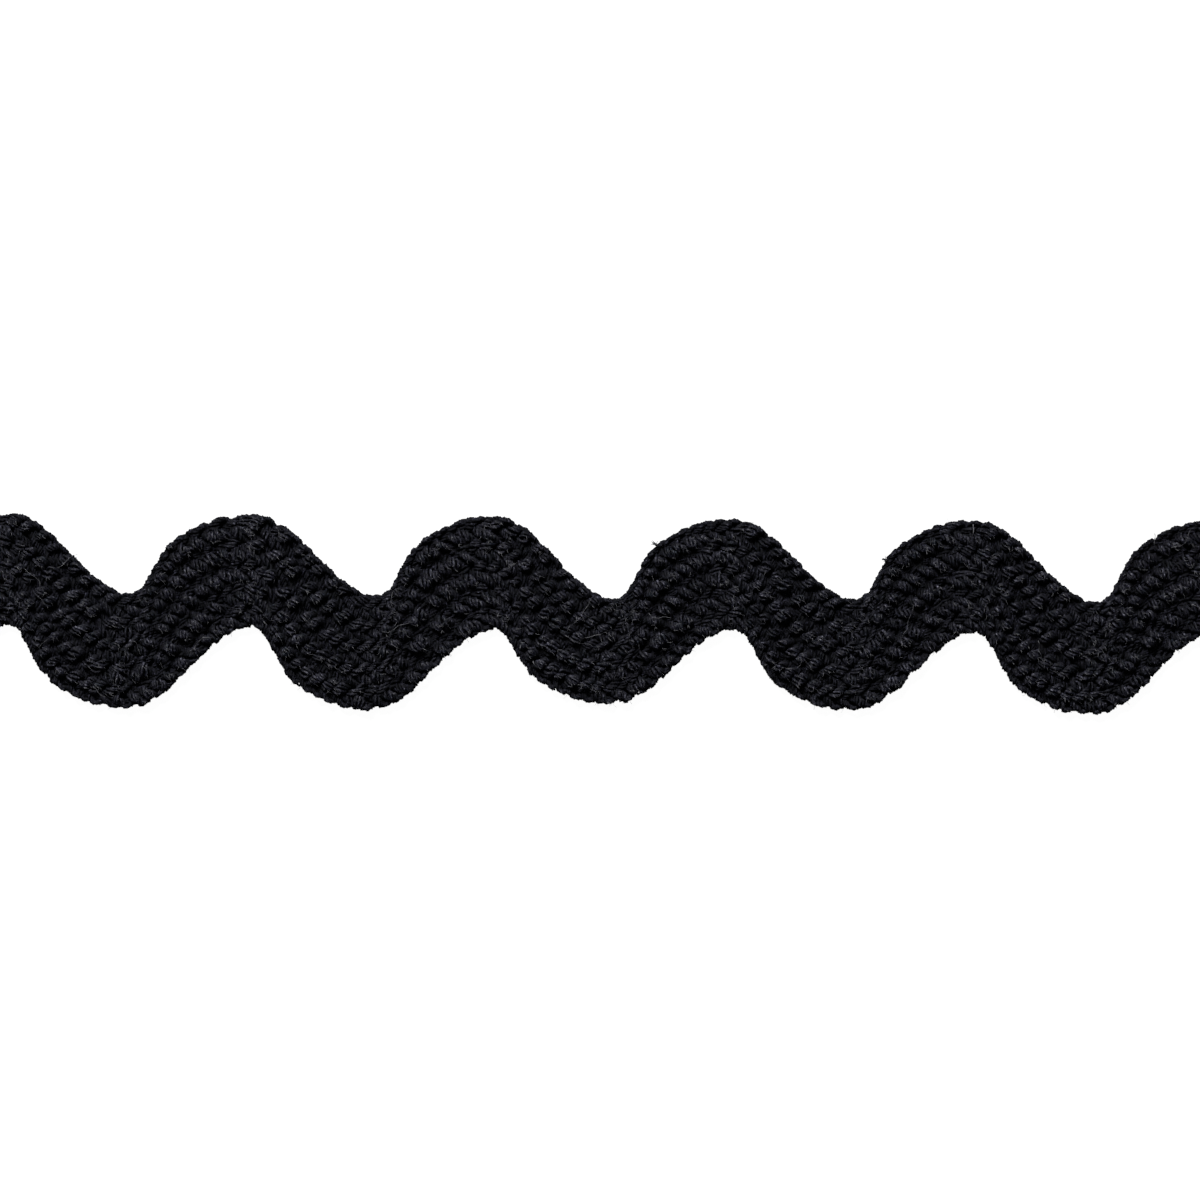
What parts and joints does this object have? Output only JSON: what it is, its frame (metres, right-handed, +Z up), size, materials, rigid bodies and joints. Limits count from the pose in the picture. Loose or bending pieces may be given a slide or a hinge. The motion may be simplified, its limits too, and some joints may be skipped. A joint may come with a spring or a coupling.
{
  "type": "ric rac trim",
  "caption": "Cut length of narrow flat braid woven in even waves, lying flat, with ribs along its climbing slopes.",
  "frame": {"origin": "on the surface it lies on, under the middle of the band's box", "axes": "+X along the band, +Y across it towards the top edge, +Z up out of its face"},
  "size_m": [0.11, 0.015, 0.0016],
  "materials": {
    "black_yarn": "matte braided yarn"
  },
  "bodies": {
    "root": {"ric_rac_band": "black_yarn"}
  },
  "joints": []
}
